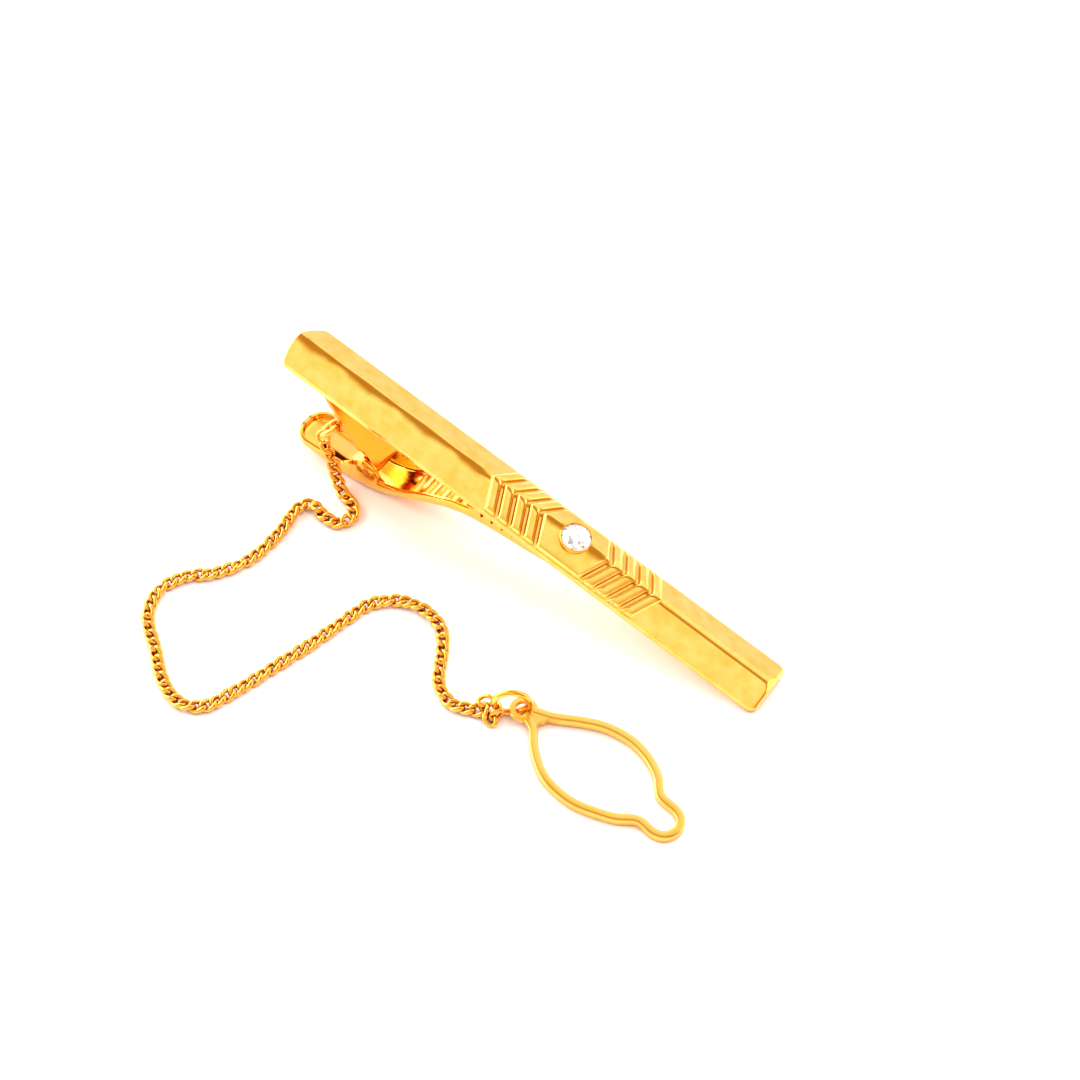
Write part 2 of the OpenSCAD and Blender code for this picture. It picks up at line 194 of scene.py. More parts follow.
def gold(name, base, deep, roughness, wear, dents, shade_reach=0.5, shade=PAINTED_CREVICE_SHADE, clouds=CLOUD_SCALE):
    """Gold plate: a polished coat with faint cloudiness, slow waves, tiny dents, and painted shade that
    darkens its crevices and the spots close under other parts.
    """
    material, tree, shader = node_material(name)
    place = tree.nodes.new("ShaderNodeTexCoord")
    cloud = noise(tree, place, clouds, CLOUD_DETAIL)
    tint = blend_colours(tree, cloud, base, deep)
    # Painted shade: the shade colour takes over from the gold where ambient occlusion finds the spot hidden
    # within the given reach
    hidden = tree.nodes.new("ShaderNodeAmbientOcclusion")
    hidden.samples = CREVICE_SAMPLES
    hidden.inputs["Distance"].default_value = shade_reach * MM
    openness = spread(tree, hidden.outputs["AO"], CREVICE_FULL, CREVICE_NONE)
    tree.links.new(blend_colours(tree, openness, shade, tint), shader.inputs["Base Color"])
    tree.links.new(spread(tree, cloud, 0, 1, roughness, roughness + wear), shader.inputs["Roughness"])

    ripples = bump(tree, noise(tree, place, RIPPLE_SCALE, RIPPLE_DETAIL), dents, RIPPLE_DEPTH)
    waves = bump(tree, noise(tree, place, WAVE_SCALE, WAVE_DETAIL), 1, WAVE_DEPTH)
    tree.links.new(waves.outputs["Normal"], ripples.inputs["Normal"])
    tree.links.new(ripples.outputs["Normal"], shader.inputs["Normal"])
    shader.inputs["Metallic"].default_value = 1
    return material


GOLD_BRIGHT = gold("gold_bright", (0.97, 0.58, 0.11), (0.95, 0.53, 0.08), 0.09, 0.05, 0.25)
GOLD_BAR = gold("gold_bar", (0.99, 0.76, 0.24), (0.94, 0.46, 0.02), 0.1, 0.07, 0.5, clouds=700)
GOLD_SATIN = gold("gold_satin", (0.97, 0.62, 0.15), (0.96, 0.55, 0.1), 0.2, 0.08, 0.35)
# The chain's painted shade is a dark maroon that stands for the shade deep in the holes of its links
GOLD_CHAIN = gold("gold_chain", (0.98, 0.56, 0.1), (0.96, 0.47, 0.06), 0.08, 0.06, 0.25, shade=CHAIN_PAINTED_SHADE)
# The bracket's gold is a darker, redder copy, painted shade for its place under the bar; its painted shade
# reaches 3 mm, so it darkens wherever the bar and lever hang over it
GOLD_SHADED = gold("gold_shaded", (0.97, 0.36, 0.03), (0.96, 0.26, 0.01), 0.12, 0.06, 0.25, 3, BRACKET_PAINTED_SHADE)
SPRING = gold("spring_steel", (0.96, 0.6, 0.16), (0.94, 0.54, 0.12), 0.16, 0.1, 0.3)

# Painted reflections on the stone: white and grey patches stand for the light and shade its facets throw
# back
PAINTED_FACET_SCALE = 3600
PAINTED_FACET_STOPS = (
    (0, (0.3, 0.3, 0.33)), (0.16, (0.55, 0.5, 0.52)), (0.3, (0.98, 0.98, 1)), (0.8, (0.85, 0.72, 0.7)),
    (0.86, (1, 1, 1)), (1, (1, 1, 1)),
)


def crystal():
    """A white cut stone: bright and grey patches are painted reflections, standing for the facets seen
    through its top.
    """
    material, tree, shader = node_material("stone")
    place = tree.nodes.new("ShaderNodeTexCoord")
    cells = tree.nodes.new("ShaderNodeTexVoronoi")
    cells.inputs["Scale"].default_value = PAINTED_FACET_SCALE
    tree.links.new(place.outputs["Object"], cells.inputs["Vector"])
    split = tree.nodes.new("ShaderNodeSeparateColor")
    tree.links.new(cells.outputs["Color"], split.inputs["Color"])
    painted_facets = ramp_node(tree, PAINTED_FACET_STOPS)
    painted_facets.color_ramp.interpolation = "CONSTANT"
    tree.links.new(split.outputs["Red"], painted_facets.inputs["Fac"])
    tree.links.new(painted_facets.outputs["Color"], shader.inputs["Base Color"])
    shader.inputs["Roughness"].default_value = 0.04
    shader.inputs["IOR"].default_value = 2.1
    return material


STONE = crystal()


# ---------------------------------------------------------------- chain

CHAIN_Z = 0.5
CHAIN_ROUTE = [
    (-23.7, -3.1, 5), (-23.2, -3.1, 4.1), (-22.6, -3.3, 2.8), (-21.8, -3.8, 1.4), (-20.5, -4.5, CHAIN_Z),
    (-18.9, -5.1, CHAIN_Z), (-17.9, -6.3, CHAIN_Z), (-18.6, -7.8, CHAIN_Z), (-20.5, -7.9, CHAIN_Z),
    (-22.2, -7.4, CHAIN_Z), (-23.2, -8.8, CHAIN_Z), (-22.7, -12.5, CHAIN_Z), (-23, -16.5, CHAIN_Z),
    (-24.7, -19.8, CHAIN_Z), (-27, -22.1, CHAIN_Z), (-27.9, -24.9, CHAIN_Z), (-26.6, -27.9, CHAIN_Z),
    (-23.5, -30.3, CHAIN_Z), (-20.7, -32.5, CHAIN_Z), (-17.8, -33.6, CHAIN_Z), (-15.3, -32.6, CHAIN_Z),
    (-13.9, -29.3, CHAIN_Z), (-12.6, -25, CHAIN_Z), (-11.4, -20.9, CHAIN_Z), (-10.5, -17, CHAIN_Z),
    (-9.6, -13.9, CHAIN_Z), (-7.4, -11.9, CHAIN_Z), (-4.8, -11.4, CHAIN_Z), (-2.2, -12.2, CHAIN_Z),
    (-0.4, -14.3, CHAIN_Z), (0.8, -16.5, CHAIN_Z), (2.1, -18, CHAIN_Z), (4, -18.7, CHAIN_Z),
    (5.8, -18.2, CHAIN_Z), (6.9, -17.7, CHAIN_Z),
]

# Sideways shift that brings the bar and clip to the middle of the frame, as in the CAD model
CHAIN_SHIFT = Vector((0.22685, 0, 0))
LINK_PITCH = 1.03 * MM
LINK_WIRE = 0.46 * MM
LINK_WIDTH = 1.42 * MM
LINK_TWIST = math.radians(42)
LINK_STEPS = 20
WIRE_SIDES = 8

# How the links roll along the chain: size in degrees, rate for each link and start of each wave
LINK_ROLLS = ((16, 2.3, 0), (9, 0.7, 1))

# The last links lie tumbled by the end ring: place and turns in degrees
LOOSE_LINKS = (
    ((6.7, -16.9, 1.15), (25, -12, 32)), ((7.15, -17.6, 0.62), (62, 8, -48)), ((8, -18, 0.5), (8, 6, -14)),
    ((8.35, -17.3, 0.75), (70, -14, 62)),
)
PATH_STEPS = 12


def link_rings():
    """One curb link about its own middle: an oval of wire, twisted so that its ends stand crosswise."""
    half_long = LINK_PITCH / 2 + LINK_WIRE / 2
    half_wide = (LINK_WIDTH - LINK_WIRE) / 2
    line = []
    for i in range(LINK_STEPS):
        turn = 2 * math.pi * i / LINK_STEPS
        twist = LINK_TWIST * math.cos(turn)
        side = half_wide * math.sin(turn)
        line.append(Vector((half_long * math.cos(turn), side * math.cos(twist), side * math.sin(twist))))
    rings = []
    for i, point in enumerate(line):
        ahead = (line[(i + 1) % LINK_STEPS] - line[i - 1]).normalized()
        out = (point - ahead * point.dot(ahead)).normalized()
        up = ahead.cross(out)
        turns = [2 * math.pi * (k + 0.5) / WIRE_SIDES for k in range(WIRE_SIDES)]
        rings.append([point + LINK_WIRE / 2 * (math.cos(a) * out + math.sin(a) * up) for a in turns])
    return rings


def along(path, distance):
    """The point and heading at a distance along a line of points."""
    for a, b in zip(path, path[1:]):
        step = (b - a).length
        if distance <= step:
            return a.lerp(b, distance / step), (b - a).normalized()
        distance -= step
    return path[-1], (path[-1] - path[-2]).normalized()


def settled(middle, turned, rings):
    """The middle of a link, raised where needed so that none of the link dips under the table."""
    lowest = min((middle + turned @ p).z for ring in rings for p in ring)
    return middle + Vector((0, 0, max(-lowest, 0)))


def link_places(path, length, rings):
    """Where each link's middle is and how it is turned: the chain's links, then the loose ones."""
    places = []
    count = int(length / LINK_PITCH)
    for n in range(count):
        middle, ahead = along(path, (n + 0.5) * length / count)
        side = ahead.cross(Vector((0, 0, 1))).normalized()
        up = side.cross(ahead)
        roll = sum(math.radians(size) * math.sin(rate * n + start) for size, rate, start in LINK_ROLLS)
        turned = Matrix((ahead, side, up)).transposed() @ Matrix.Rotation(roll, 3, "X")
        places.append((settled(middle, turned, rings), turned))
    for spot, angles in LOOSE_LINKS:
        turned = Euler([math.radians(a) for a in angles]).to_matrix()
        places.append((settled(MM * (Vector(spot) + CHAIN_SHIFT), turned, rings), turned))
    return places


def add_chain():
    path = smooth_path([(Vector(p) + CHAIN_SHIFT) * MM for p in CHAIN_ROUTE], PATH_STEPS)
    length = sum((b - a).length for a, b in zip(path, path[1:]))
    rings = link_rings()
    points, faces = [], []
    for middle, turned in link_places(path, length, rings):
        start = len(points)
        for ring in rings:
            points.extend(middle + turned @ p for p in ring)
        for i in range(LINK_STEPS):
            for k in range(WIRE_SIDES):
                a, b = i * WIRE_SIDES + k, i * WIRE_SIDES + (k + 1) % WIRE_SIDES
                c, d = (((i + 1) % LINK_STEPS) * WIRE_SIDES + m % WIRE_SIDES for m in (k + 1, k))
                faces.append([start + v for v in (a, b, c, d)])
    chain = add_mesh("chain_links", points, faces, GOLD_CHAIN, "bar")
    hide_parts("chain")
    add_loop()


# ---------------------------------------------------------------- bar frame

BAR_HALF = 29.0
HEEL_X, HEEL_DROP = -17.5, 11.5
TILT = math.atan2(HEEL_DROP, BAR_HALF - HEEL_X)
LIFT = BAR_HALF * math.sin(TILT)


def on_table(x, y, z):
    """A point of the bar's own frame, in millimetres, as it stands on the table."""
    return MM * Vector(
        (
            x * math.cos(TILT) + z * math.sin(TILT) + CHAIN_SHIFT.x,
            y,
            -x * math.sin(TILT) + z * math.cos(TILT) + LIFT,
        )
    )


def loft(rings, close_ends=True):
    """Points and faces of a skin over closed rings that all have the same number of points."""
    count = len(rings[0])
    points = [p for ring in rings for p in ring]
    faces = []
    for i in range(len(rings) - 1):
        for k in range(count):
            m = (k + 1) % count
            faces.append((i * count + k, i * count + m, (i + 1) * count + m, (i + 1) * count + k))
    if close_ends:
        faces.append(tuple(reversed(range(count))))
        faces.append(tuple((len(rings) - 1) * count + k for k in range(count)))
    return points, faces


def sharpen(piece, degrees):
    """Sharp edges where faces meet at more than an angle."""
    piece.data.set_sharp_from_angle(angle=math.radians(degrees))


def ease(t):
    """A soft step from 0 to 1."""
    t = min(max(t, 0), 1)
    return t * t * (3 - 2 * t)


def rounding(radius, into):
    """How far a round corner of a radius has drawn in, at a distance into it."""
    return radius - math.sqrt(max(radius**2 - into**2, 0))


def between(x, table):
    """The value at x on a line through (x, value) points in rising order of x."""
    if x <= table[0][0]:
        return table[0][1]
    for (xa, za), (xb, zb) in zip(table, table[1:]):
        if x <= xb:
            return za + (zb - za) * (x - xa) / max(xb - xa, 1e-9)
    return table[-1][1]


# ---------------------------------------------------------------- front bar

BAR_W = 3.0
EDGE_H = 0.7
RIDGE_H = 2.03
RIDGE_R = 1.2
RIDGE_C = RIDGE_H - RIDGE_R
FACE_TILT = math.atan2(RIDGE_C - EDGE_H, BAR_W) + math.asin(RIDGE_R / math.hypot(BAR_W, RIDGE_C - EDGE_H))
RIDGE_Y = RIDGE_R * math.sin(FACE_TILT)
CORNER_THUMB, CORNER_FAR = 0.35, 0.9
HIP_RUN, HIP_DROP = 0.7, 0.53
END_ROUND = 0.45
END_DROP = 0.8 * END_ROUND
EDGE_BEVEL = 0.07
LOWEST_TOP = 0.55 * EDGE_H
STONE_X = 5.15
SEAT_R, SEAT_DEPTH = 1.62, 0.9
RELIEF = 0.4
RELIEF_IN, RELIEF_OUT = 2.62, 2.92
PAD_HALF = 4.1
CHEVRON_PITCH = 1.58
CHEVRONS = 4
CHEVRON_LEAN = 0.52
LEAN_FADE_START, LEAN_FADE_RUN = 0.5, 6
RELIEF_END = PAD_HALF + CHEVRONS * CHEVRON_PITCH

# The near face's buffing: width, slope, and how the width wanders as size, rate and start of each wave
BUFF_W = 1.0
BUFF_SLOPE = 0.27
BUFF_REACH = 1.4
BUFF_WAVES = ((0.28, 0.9, 1.2), (0.14, 2.7, 0), (0.07, 5.3, 2))

# Where the buffed face gives way to the plain one, before the chevrons and inside the pad: gap and fade
BUFF_GAP, BUFF_FADE = 0.2, 0.8
PAD_GAP, PAD_FADE = 0.3, 0.6

# A chevron's section from its outer edge inwards: distance and share of the relief
CHEVRON_SECTION = (
    (0, 0), (0.06, 0.3), (0.13, 0.54), (0.21, 0.72), (0.31, 0.86), (0.43, 0.95), (0.58, 1), (0.8, 1.01),
    (0.98, 0.95), (1.09, 0.82), (1.18, 0.55), (1.25, 0.22), (1.3, 0),
)
PAD_SECTION = CHEVRON_SECTION[:7]

# Columns on the pad, counted from the stone; those past the chevrons; and those counted back from each end
PAD_COLUMNS = [0.1 * i for i in range(20)] + [2.2, 2.6, 3.0, 3.4, 3.7]
COLUMN_START, COLUMN_STEP, COLUMN_STOP = 0.4, 0.5, 1.2
END_COLUMNS = (1.0, 0.85, 0.7, 0.6, 0.5, 0.4, 0.3, 0.22, 0.15, 0.08, 0.03, 0)

# Rows across half of the top, close together where it curves
HALF_ROWS = [0.08 * i for i in range(23)] + [1.9, 2.0, 2.2, 2.4]
HALF_ROWS += [RELIEF_IN, 2.67, 2.72, 2.77, 2.82, 2.87, RELIEF_OUT, BAR_W - EDGE_BEVEL / 2]

# The side wall's softened edges: inset and drop from the top edge, then inset and height at the foot
SIDE_TOP = ((0.015, 0.03), (0, 0.1))
SIDE_FOOT = ((0, 0.09), (0.02, 0.025), (0.09, 0))

# How far the thumb end moves along the bar at places across it: outwards, then back at the far corner
END_BOW = (
    (-3, 0), (-2.4, -0.27), (-1.6, -0.48), (-0.6, -0.57), (0.4, -0.5), (1.2, -0.28), (1.9, 0.05),
    (2.4, 0.32), (2.75, 0.6), (3, 0.95),
)
BOW_START, BOW_RUN = -26, 3


def face_height(y):
    """The height of the plain ridged top at a place across the bar."""
    y = abs(y)
    if y < RIDGE_Y:
        return RIDGE_C + math.sqrt(RIDGE_R**2 - y * y)
    return RIDGE_C + RIDGE_R * math.cos(FACE_TILT) - (y - RIDGE_Y) * math.tan(FACE_TILT)


def polished_height(x, y):
    """The thumb half and the pad: the near face is buffed round towards a sharp ridge, unevenly."""
    apex = RIDGE_C + RIDGE_R * math.cos(FACE_TILT) + RIDGE_Y * math.tan(FACE_TILT)
    far = apex - y * math.tan(FACE_TILT)
    width = BUFF_W + sum(size * math.sin(rate * x + start) for size, rate, start in BUFF_WAVES)
    into = min(max((y + width) / width, 0), BUFF_REACH)
    near = apex + y * math.tan(FACE_TILT) - BUFF_SLOPE * width * into * into / 2
    sharp = min(far, near)
    before = ease((STONE_X - RELIEF_END - BUFF_GAP - x) / BUFF_FADE)
    on_pad = ease((PAD_HALF - PAD_GAP - abs(x - STONE_X)) / PAD_FADE)
    share = max(before, on_pad)
    return share * sharp + (1 - share) * face_height(y)


def bar_columns():
    """Distances along the bar from the stone, each with the share of the relief there."""
    half = {u: 1 for u in PAD_COLUMNS}
    for step, share in PAD_SECTION:
        half[PAD_HALF - step] = share
    for k in range(1, CHEVRONS + 1):
        edge = PAD_HALF + k * CHEVRON_PITCH
        for step, share in CHEVRON_SECTION:
            half[edge - step] = share
    columns = {}
    for side, end in ((-1, -BAR_HALF - STONE_X), (1, BAR_HALF - STONE_X)):
        for u, share in half.items():
            columns[round(side * u, 4)] = share
        reach = abs(end)
        u = RELIEF_END + COLUMN_START
        while u < reach - COLUMN_STOP:
            columns[round(side * u, 4)] = 0
            u += COLUMN_STEP
        for back in END_COLUMNS:
            columns[round(side * (reach - back), 4)] = 0
    return sorted(columns.items())


def lean(u):
    """How much a column bends back towards the stone for each millimetre away from the ridge."""
    fade = ease((abs(u) - RELIEF_END - LEAN_FADE_START) / LEAN_FADE_RUN)
    return -math.copysign(CHEVRON_LEAN * min(abs(u) / PAD_HALF, 1) * (1 - fade), u)


def plan_half_width(x):
    """Half the bar's width near its rounded corners."""
    radius = CORNER_THUMB if x < 0 else CORNER_FAR
    return BAR_W - rounding(radius, max(abs(x) - (BAR_HALF - radius), 0))


def top_point(u, row, wide, share):
    """A point of the top, in its column and row, with the relief, the end's shape and the edges' bevels."""
    y = row * wide / BAR_W
    x = min(max(STONE_X + u + lean(u) * abs(y), -BAR_HALF), BAR_HALF)
    flank = ease((abs(y) - RELIEF_IN) / (RELIEF_OUT - RELIEF_IN))
    z = polished_height(x, y) + RELIEF * share * (1 - flank)
    if x > 0:
        z = min(z, RIDGE_H - HIP_DROP + (BAR_HALF - x) * HIP_DROP / HIP_RUN)
        into = max(x - (BAR_HALF - END_ROUND), 0)
        z -= rounding(END_ROUND, into) if into < END_ROUND else END_DROP
    else:
        z -= EDGE_BEVEL * ease((-x - BAR_HALF + EDGE_BEVEL) / EDGE_BEVEL)
    bow = between(y, END_BOW) * ease((BOW_START - x) / BOW_RUN)
    return x + bow, y, max(z, LOWEST_TOP)


def bar_ring(u, share):
    """One column of the bar's skin: up the near side, over the top and down the far side."""
    wide = plan_half_width(STONE_X + u)
    rows = [-row for row in reversed(HALF_ROWS[1:])] + HALF_ROWS
    top = [top_point(u, row, wide, share) for row in rows]
    z_edge = top[0][2]
    side = [(wide - inset, z_edge - drop) for inset, drop in SIDE_TOP]
    side += [(wide - inset, z) for inset, z in SIDE_FOOT]
    near = [(top[0][0], -y, z) for y, z in reversed(side)]
    far = [(top[-1][0], y, z) for y, z in side]
    return [on_table(*p) for p in near + top + far]


def add_front_bar():
    rings = [bar_ring(u, share) for u, share in bar_columns()]
    points, faces = loft(rings)
    seat = on_table(STONE_X, 0, RIDGE_H)
    up = (on_table(0, 0, 1) - on_table(0, 0, 0)).normalized()

    def in_seat(face):
        middle = sum((points[i] for i in face), Vector()) / len(face)
        offset = middle - seat
        flat = offset - up * offset.dot(up)
        return flat.length < SEAT_R * MM and offset.dot(up) > -SEAT_DEPTH * MM

    faces = [f for f in faces if len(f) > 4 or not in_seat(f)]
    bar = add_mesh("bar_front", points, faces, GOLD_BAR, "bar")
    sharpen(bar, 28)
    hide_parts("front_bar")


add_front_bar()


# ---------------------------------------------------------------- setting and stone

LATHE_STEPS = 64
STONE_R = 1.5
GIRDLE_Z = 2.1
TABLE_R, TABLE_Z = 0.56 * STONE_R, GIRDLE_Z + 0.5
STAR_R, STAR_Z = 0.78 * STONE_R, GIRDLE_Z + 0.32
CROWN_Z = GIRDLE_Z + 0.06
MAIN_R, MAIN_Z = 0.3 * STONE_R, GIRDLE_Z - 0.92
CULET_Z = GIRDLE_Z - 1.28

# The setting's section, outside first: radius and height
BEZEL_SECTION = (
    (1.52, 0.9), (1.7, 0.9), (1.7, 2.22), (1.685, 2.29), (1.65, 2.335), (1.6, 2.35), (1.56, 2.335),
    (1.53, 2.29), (1.5, 2.2), (1.47, 2.08), (1.3, 1.95), (1.3, 0.9),
)


def lathe(section, place):
    """A skin turned from a section of (radius, height), each point set by place(x, y, z)."""
    rings = []
    for i in range(LATHE_STEPS + 1):
        turn = 2 * math.pi * i / LATHE_STEPS
        rings.append([place(r * math.cos(turn), r * math.sin(turn), z) for r, z in section])
    return loft(rings, close_ends=False)


def by_stone(x, y, z):
    """A point of the bar's frame, with the stone's axis as its origin."""
    return on_table(STONE_X + x, y, z)


def add_bezel():
    points, faces = lathe(BEZEL_SECTION, by_stone)
    bezel = add_mesh("bezel_ring", points, faces, GOLD_BRIGHT, "bar")
    sharpen(bezel, 50)
    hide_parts("stone_bezel")


def add_stone():
    """A round brilliant: table, stars, kites, upper halves, girdle, lower halves and mains."""
    eighth = math.pi / 4

    def ring(radius, z, count, start):
        turns = [start + 2 * math.pi * i / count for i in range(count)]
        return [by_stone(radius * math.cos(turn), radius * math.sin(turn), z) for turn in turns]

    table = ring(TABLE_R, TABLE_Z, 8, 0)
    star = ring(STAR_R, STAR_Z, 8, eighth / 2)
    top = ring(STONE_R, CROWN_Z, 16, 0)
    low = ring(STONE_R, GIRDLE_Z, 16, 0)
    mid = ring(MAIN_R, MAIN_Z, 8, eighth / 2)
    points = table + star + top + low + mid + [by_stone(0, 0, CULET_Z)]

    # Where each ring starts among the points
    t0, s0, g0, l0, m0, c0 = 0, 8, 16, 32, 48, 56
    faces = [tuple(range(8))]
    for i in range(8):
        after, before = (i + 1) % 8, (i - 1) % 8
        edge = 2 * i
        faces.append((t0 + i, s0 + i, t0 + after))
        faces.append((t0 + i, s0 + before, g0 + edge, s0 + i))
        faces.append((s0 + i, g0 + edge, g0 + edge + 1))
        faces.append((s0 + i, g0 + edge + 1, g0 + (edge + 2) % 16))
        faces.append((l0 + edge, m0 + before, c0, m0 + i))
        faces.append((l0 + edge, m0 + i, l0 + edge + 1))
        faces.append((l0 + edge + 1, m0 + i, l0 + (edge + 2) % 16))
    for i in range(16):
        after = (i + 1) % 16
        faces.append((g0 + i, l0 + i, l0 + after, g0 + after))
    stone = add_mesh("brilliant", points, faces, STONE, "bar", smooth=False)
    mend = bmesh.new()
    mend.from_mesh(stone.data)
    bmesh.ops.recalc_face_normals(mend, faces=mend.faces)
    mend.to_mesh(stone.data)
    mend.free()
    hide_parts("stone")


add_bezel()
add_stone()


# ---------------------------------------------------------------- clip lever

SHEET = 0.38
LEVER_HALF = 2.35
THUMB_END = -26.95
JAW_END = 6.0
THUMB_CORNER = 1.95
UNDER_ROUND = 0.9
END_WALL_ROUND = 0.8
FLOOR_ROUND = 0.7
RIM_SOFT = 0.09
CORNER_STEPS, HOLLOW_STEPS = 6, 4
PIN_X, PIN_Z = -17.5, -8.35
EAR_R = 1.5
TOOTH_PITCH = 1.25
TEETH = 9
FIRST_TIP = 5.35
TIP_HALF = 0.06
RIBS = 15
RIB_START = 5.2
RIB_H = 0.42
RIB_HALF = 0.36
STATION_STEP, STATIONS = 0.2, 155
THUMB_STATIONS = (0.04, 0.1, 0.18, 0.28, SHEET, SHEET + 0.02, 0.5, 0.65, 0.8, 1, 1.2, 1.4, 1.6)
CLOSEST_STATIONS = 0.012

# The most of a wall's height that its rounding and its soft rim may take
ROUND_SHARE, SOFT_SHARE = 0.8, 0.3


def ground(x):
    """The table under the bar's back, in the bar's frame."""
    return -(BAR_HALF - x) * math.tan(TILT)


def flat_curve(knots, steps):
    """A smooth curve in a plane, as pairs of numbers."""
    return [(p.x, p.y) for p in smooth_path([Vector((x, z, 0)) for x, z in knots], steps)]


# The lever's underside from its thumb end to its jaw: along the bar and down from its back
LEVER_BOTTOM = flat_curve(
    [
        (THUMB_END, ground(THUMB_END) + 1.3), (-24.7, ground(-24.7) + 0.9), (-22.5, ground(-22.5) + 0.4),
        (-20, ground(-20)), (-17.3, ground(-17.3)), (-15.3, -10.6), (-12.35, -8.4), (-8.1, -5.1),
        (-4.6, -3.5), (1.5, -2.3), (JAW_END, -1.45),
    ],
    8,
)
SADDLE = ((-15.1, -8.45), (-13.3, -7.45), (-11.6, -6.0), (-10, -4.6), (-7.8, -3.0), (-5.5, -1.9))


def tooth_tip(x):
    """The tips fall away below the bar's back towards the hinge."""
    return -0.06 - 0.12 * max(0, -1 - x)


def tooth_valley(x):
    """The valleys between the teeth get deeper towards the hinge."""
    return min(-0.62, -1.1 - 0.133 * (1 - x))


def rim_line():
    """The wall's top edge: thumb, ear skirt, saddle, jaw and teeth."""
    line = [(THUMB_END, -11.3), (-23, -10.6), (-21.6, -10.4), (-20.6, -10.15), (-19.9, -9.2), (-19.3, -8)]
    line += [(-18.6, -7.3), (-17, -8.7), (-16.3, -8.9)]
    line += flat_curve(SADDLE, 4)
    row = []
    for i in range(TEETH):
        x = FIRST_TIP - i * TOOTH_PITCH
        row += [(x + TIP_HALF, tooth_tip(x)), (x - TIP_HALF, tooth_tip(x))]
        if i < TEETH - 1:
            row.append((x - TOOTH_PITCH / 2, tooth_valley(x - TOOTH_PITCH / 2)))
    return line + sorted(row) + [(JAW_END, tooth_valley(JAW_END))]


RIM = rim_line()


def rim_height(x):
    """The height of the wall's top edge, with the round ear at the pin."""
    height = between(x, RIM)
    if abs(x - PIN_X) < EAR_R:
        height = max(height, PIN_Z + math.sqrt(EAR_R**2 - (x - PIN_X) ** 2))
    return height


def rib_height(x):
    """How high the floor's ribs stand, as a row of small roofs."""
    nearest = min(abs(x - (RIB_START - i * TOOTH_PITCH)) for i in range(RIBS))
    return RIB_H * max(0, 1 - nearest / RIB_HALF)


def lever_stations():
    """Places along the lever for its rings: even steps, and every corner of its outline."""
    places = {THUMB_END, JAW_END}
    places.update(THUMB_END + d for d in THUMB_STATIONS)
    places.update(THUMB_END + THUMB_STATIONS[-1] + STATION_STEP * i for i in range(STATIONS))
    places.update(x for x, _ in RIM)
    places.update(PIN_X + EAR_R * math.cos(math.pi * i / 16) for i in range(17))
    for i in range(RIBS):
        places.update(RIB_START - i * TOOTH_PITCH + side * RIB_HALF for side in (-1, 0, 1))
    ordered = sorted(p for p in places if THUMB_END <= p <= JAW_END)
    kept = [ordered[0]]
    for place in ordered[1:]:
        if place - kept[-1] > CLOSEST_STATIONS:
            kept.append(place)
    return kept


def corner(wall, foot, radius, steps):
    """A quarter round from a wall on the near side down to the level of its foot."""
    turns = [math.pi / 2 * i / steps for i in range(steps + 1)]
    return [(-wall + radius * (1 - math.cos(t)), foot + radius * (1 - math.sin(t))) for t in turns]


def lever_floor(x, rim):
    """The inside floor: it rises to the rim at the thumb end's wall, and carries the ribs."""
    wall_in = THUMB_END + SHEET + FLOOR_ROUND - x
    floor = between(x, LEVER_BOTTOM) + SHEET
    if x <= THUMB_END + SHEET:
        floor = rim
    elif wall_in > 0:
        floor += rounding(FLOOR_ROUND, wall_in)
    return min(floor, rim) + rib_height(x)


def lever_ring(x):
    """The channel's section: round the outside from rim to rim, then back along the inside."""
    into = max(THUMB_END + THUMB_CORNER - x, 0)
    wide = LEVER_HALF - rounding(THUMB_CORNER, into)
    inner = LEVER_HALF - SHEET - rounding(THUMB_CORNER - SHEET, into)
    rim = rim_height(x)
    bottom = between(x, LEVER_BOTTOM) + rounding(END_WALL_ROUND, max(THUMB_END + END_WALL_ROUND - x, 0))
    floor = lever_floor(x, rim)
    radius = min(UNDER_ROUND, (rim - bottom) * ROUND_SHARE)
    inner_radius = min(max(radius - SHEET, 0.15), max(rim - floor, 0.01))
    soft = min(RIM_SOFT, (rim - bottom) * SOFT_SHARE)

    outer = [(-wide + 0.1, rim), (-wide + 0.03, rim - 0.03), (-wide, rim - soft)]
    outer += corner(wide, bottom, radius, CORNER_STEPS) + [(-0.5, bottom)]
    outer += [(-y, z) for y, z in reversed(outer)]
    hollow = [(-inner - 0.04, rim), (-inner, max(rim - 0.06, floor))]
    hollow += corner(inner, floor, inner_radius, HOLLOW_STEPS) + [(-0.7, floor)]
    hollow += [(-y, z) for y, z in reversed(hollow)]
    return [on_table(x, y, z) for y, z in outer + list(reversed(hollow))]


def add_lever():
    points, faces = loft([lever_ring(x) for x in lever_stations()])
    lever = add_mesh("lever_channel", points, faces, GOLD_BRIGHT, "lever")
    sharpen(lever, 35)
    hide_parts("clip_lever")


add_lever()


# ---------------------------------------------------------------- leaf spring

LEAF_NARROW = 0.6


def add_leaf():
    """A narrower copy of the model's leaf spring, sitting between the bracket, which holds its top, and the
    lever, which its foot presses on.
    """
    leaf = bpy.data.objects.new("leaf_bent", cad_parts["leaf_spring"].data.copy())
    leaf.matrix_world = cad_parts["leaf_spring"].matrix_world
    leaf.data.transform(Matrix.Scale(LEAF_NARROW, 4, Vector((0, 1, 0))))
    leaf.data.materials.clear()
    leaf.data.materials.append(SPRING)
    bpy.context.scene.collection.objects.link(leaf)
    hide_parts("leaf_spring")
    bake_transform(leaf)


add_leaf()


# ---------------------------------------------------------------- button loop

LOOP_AT = Vector((10.1, -15.43, 0))
LOOP_TURN = math.radians(-7.34)
LOOP_T = 0.86
LOOP_STEPS = 4

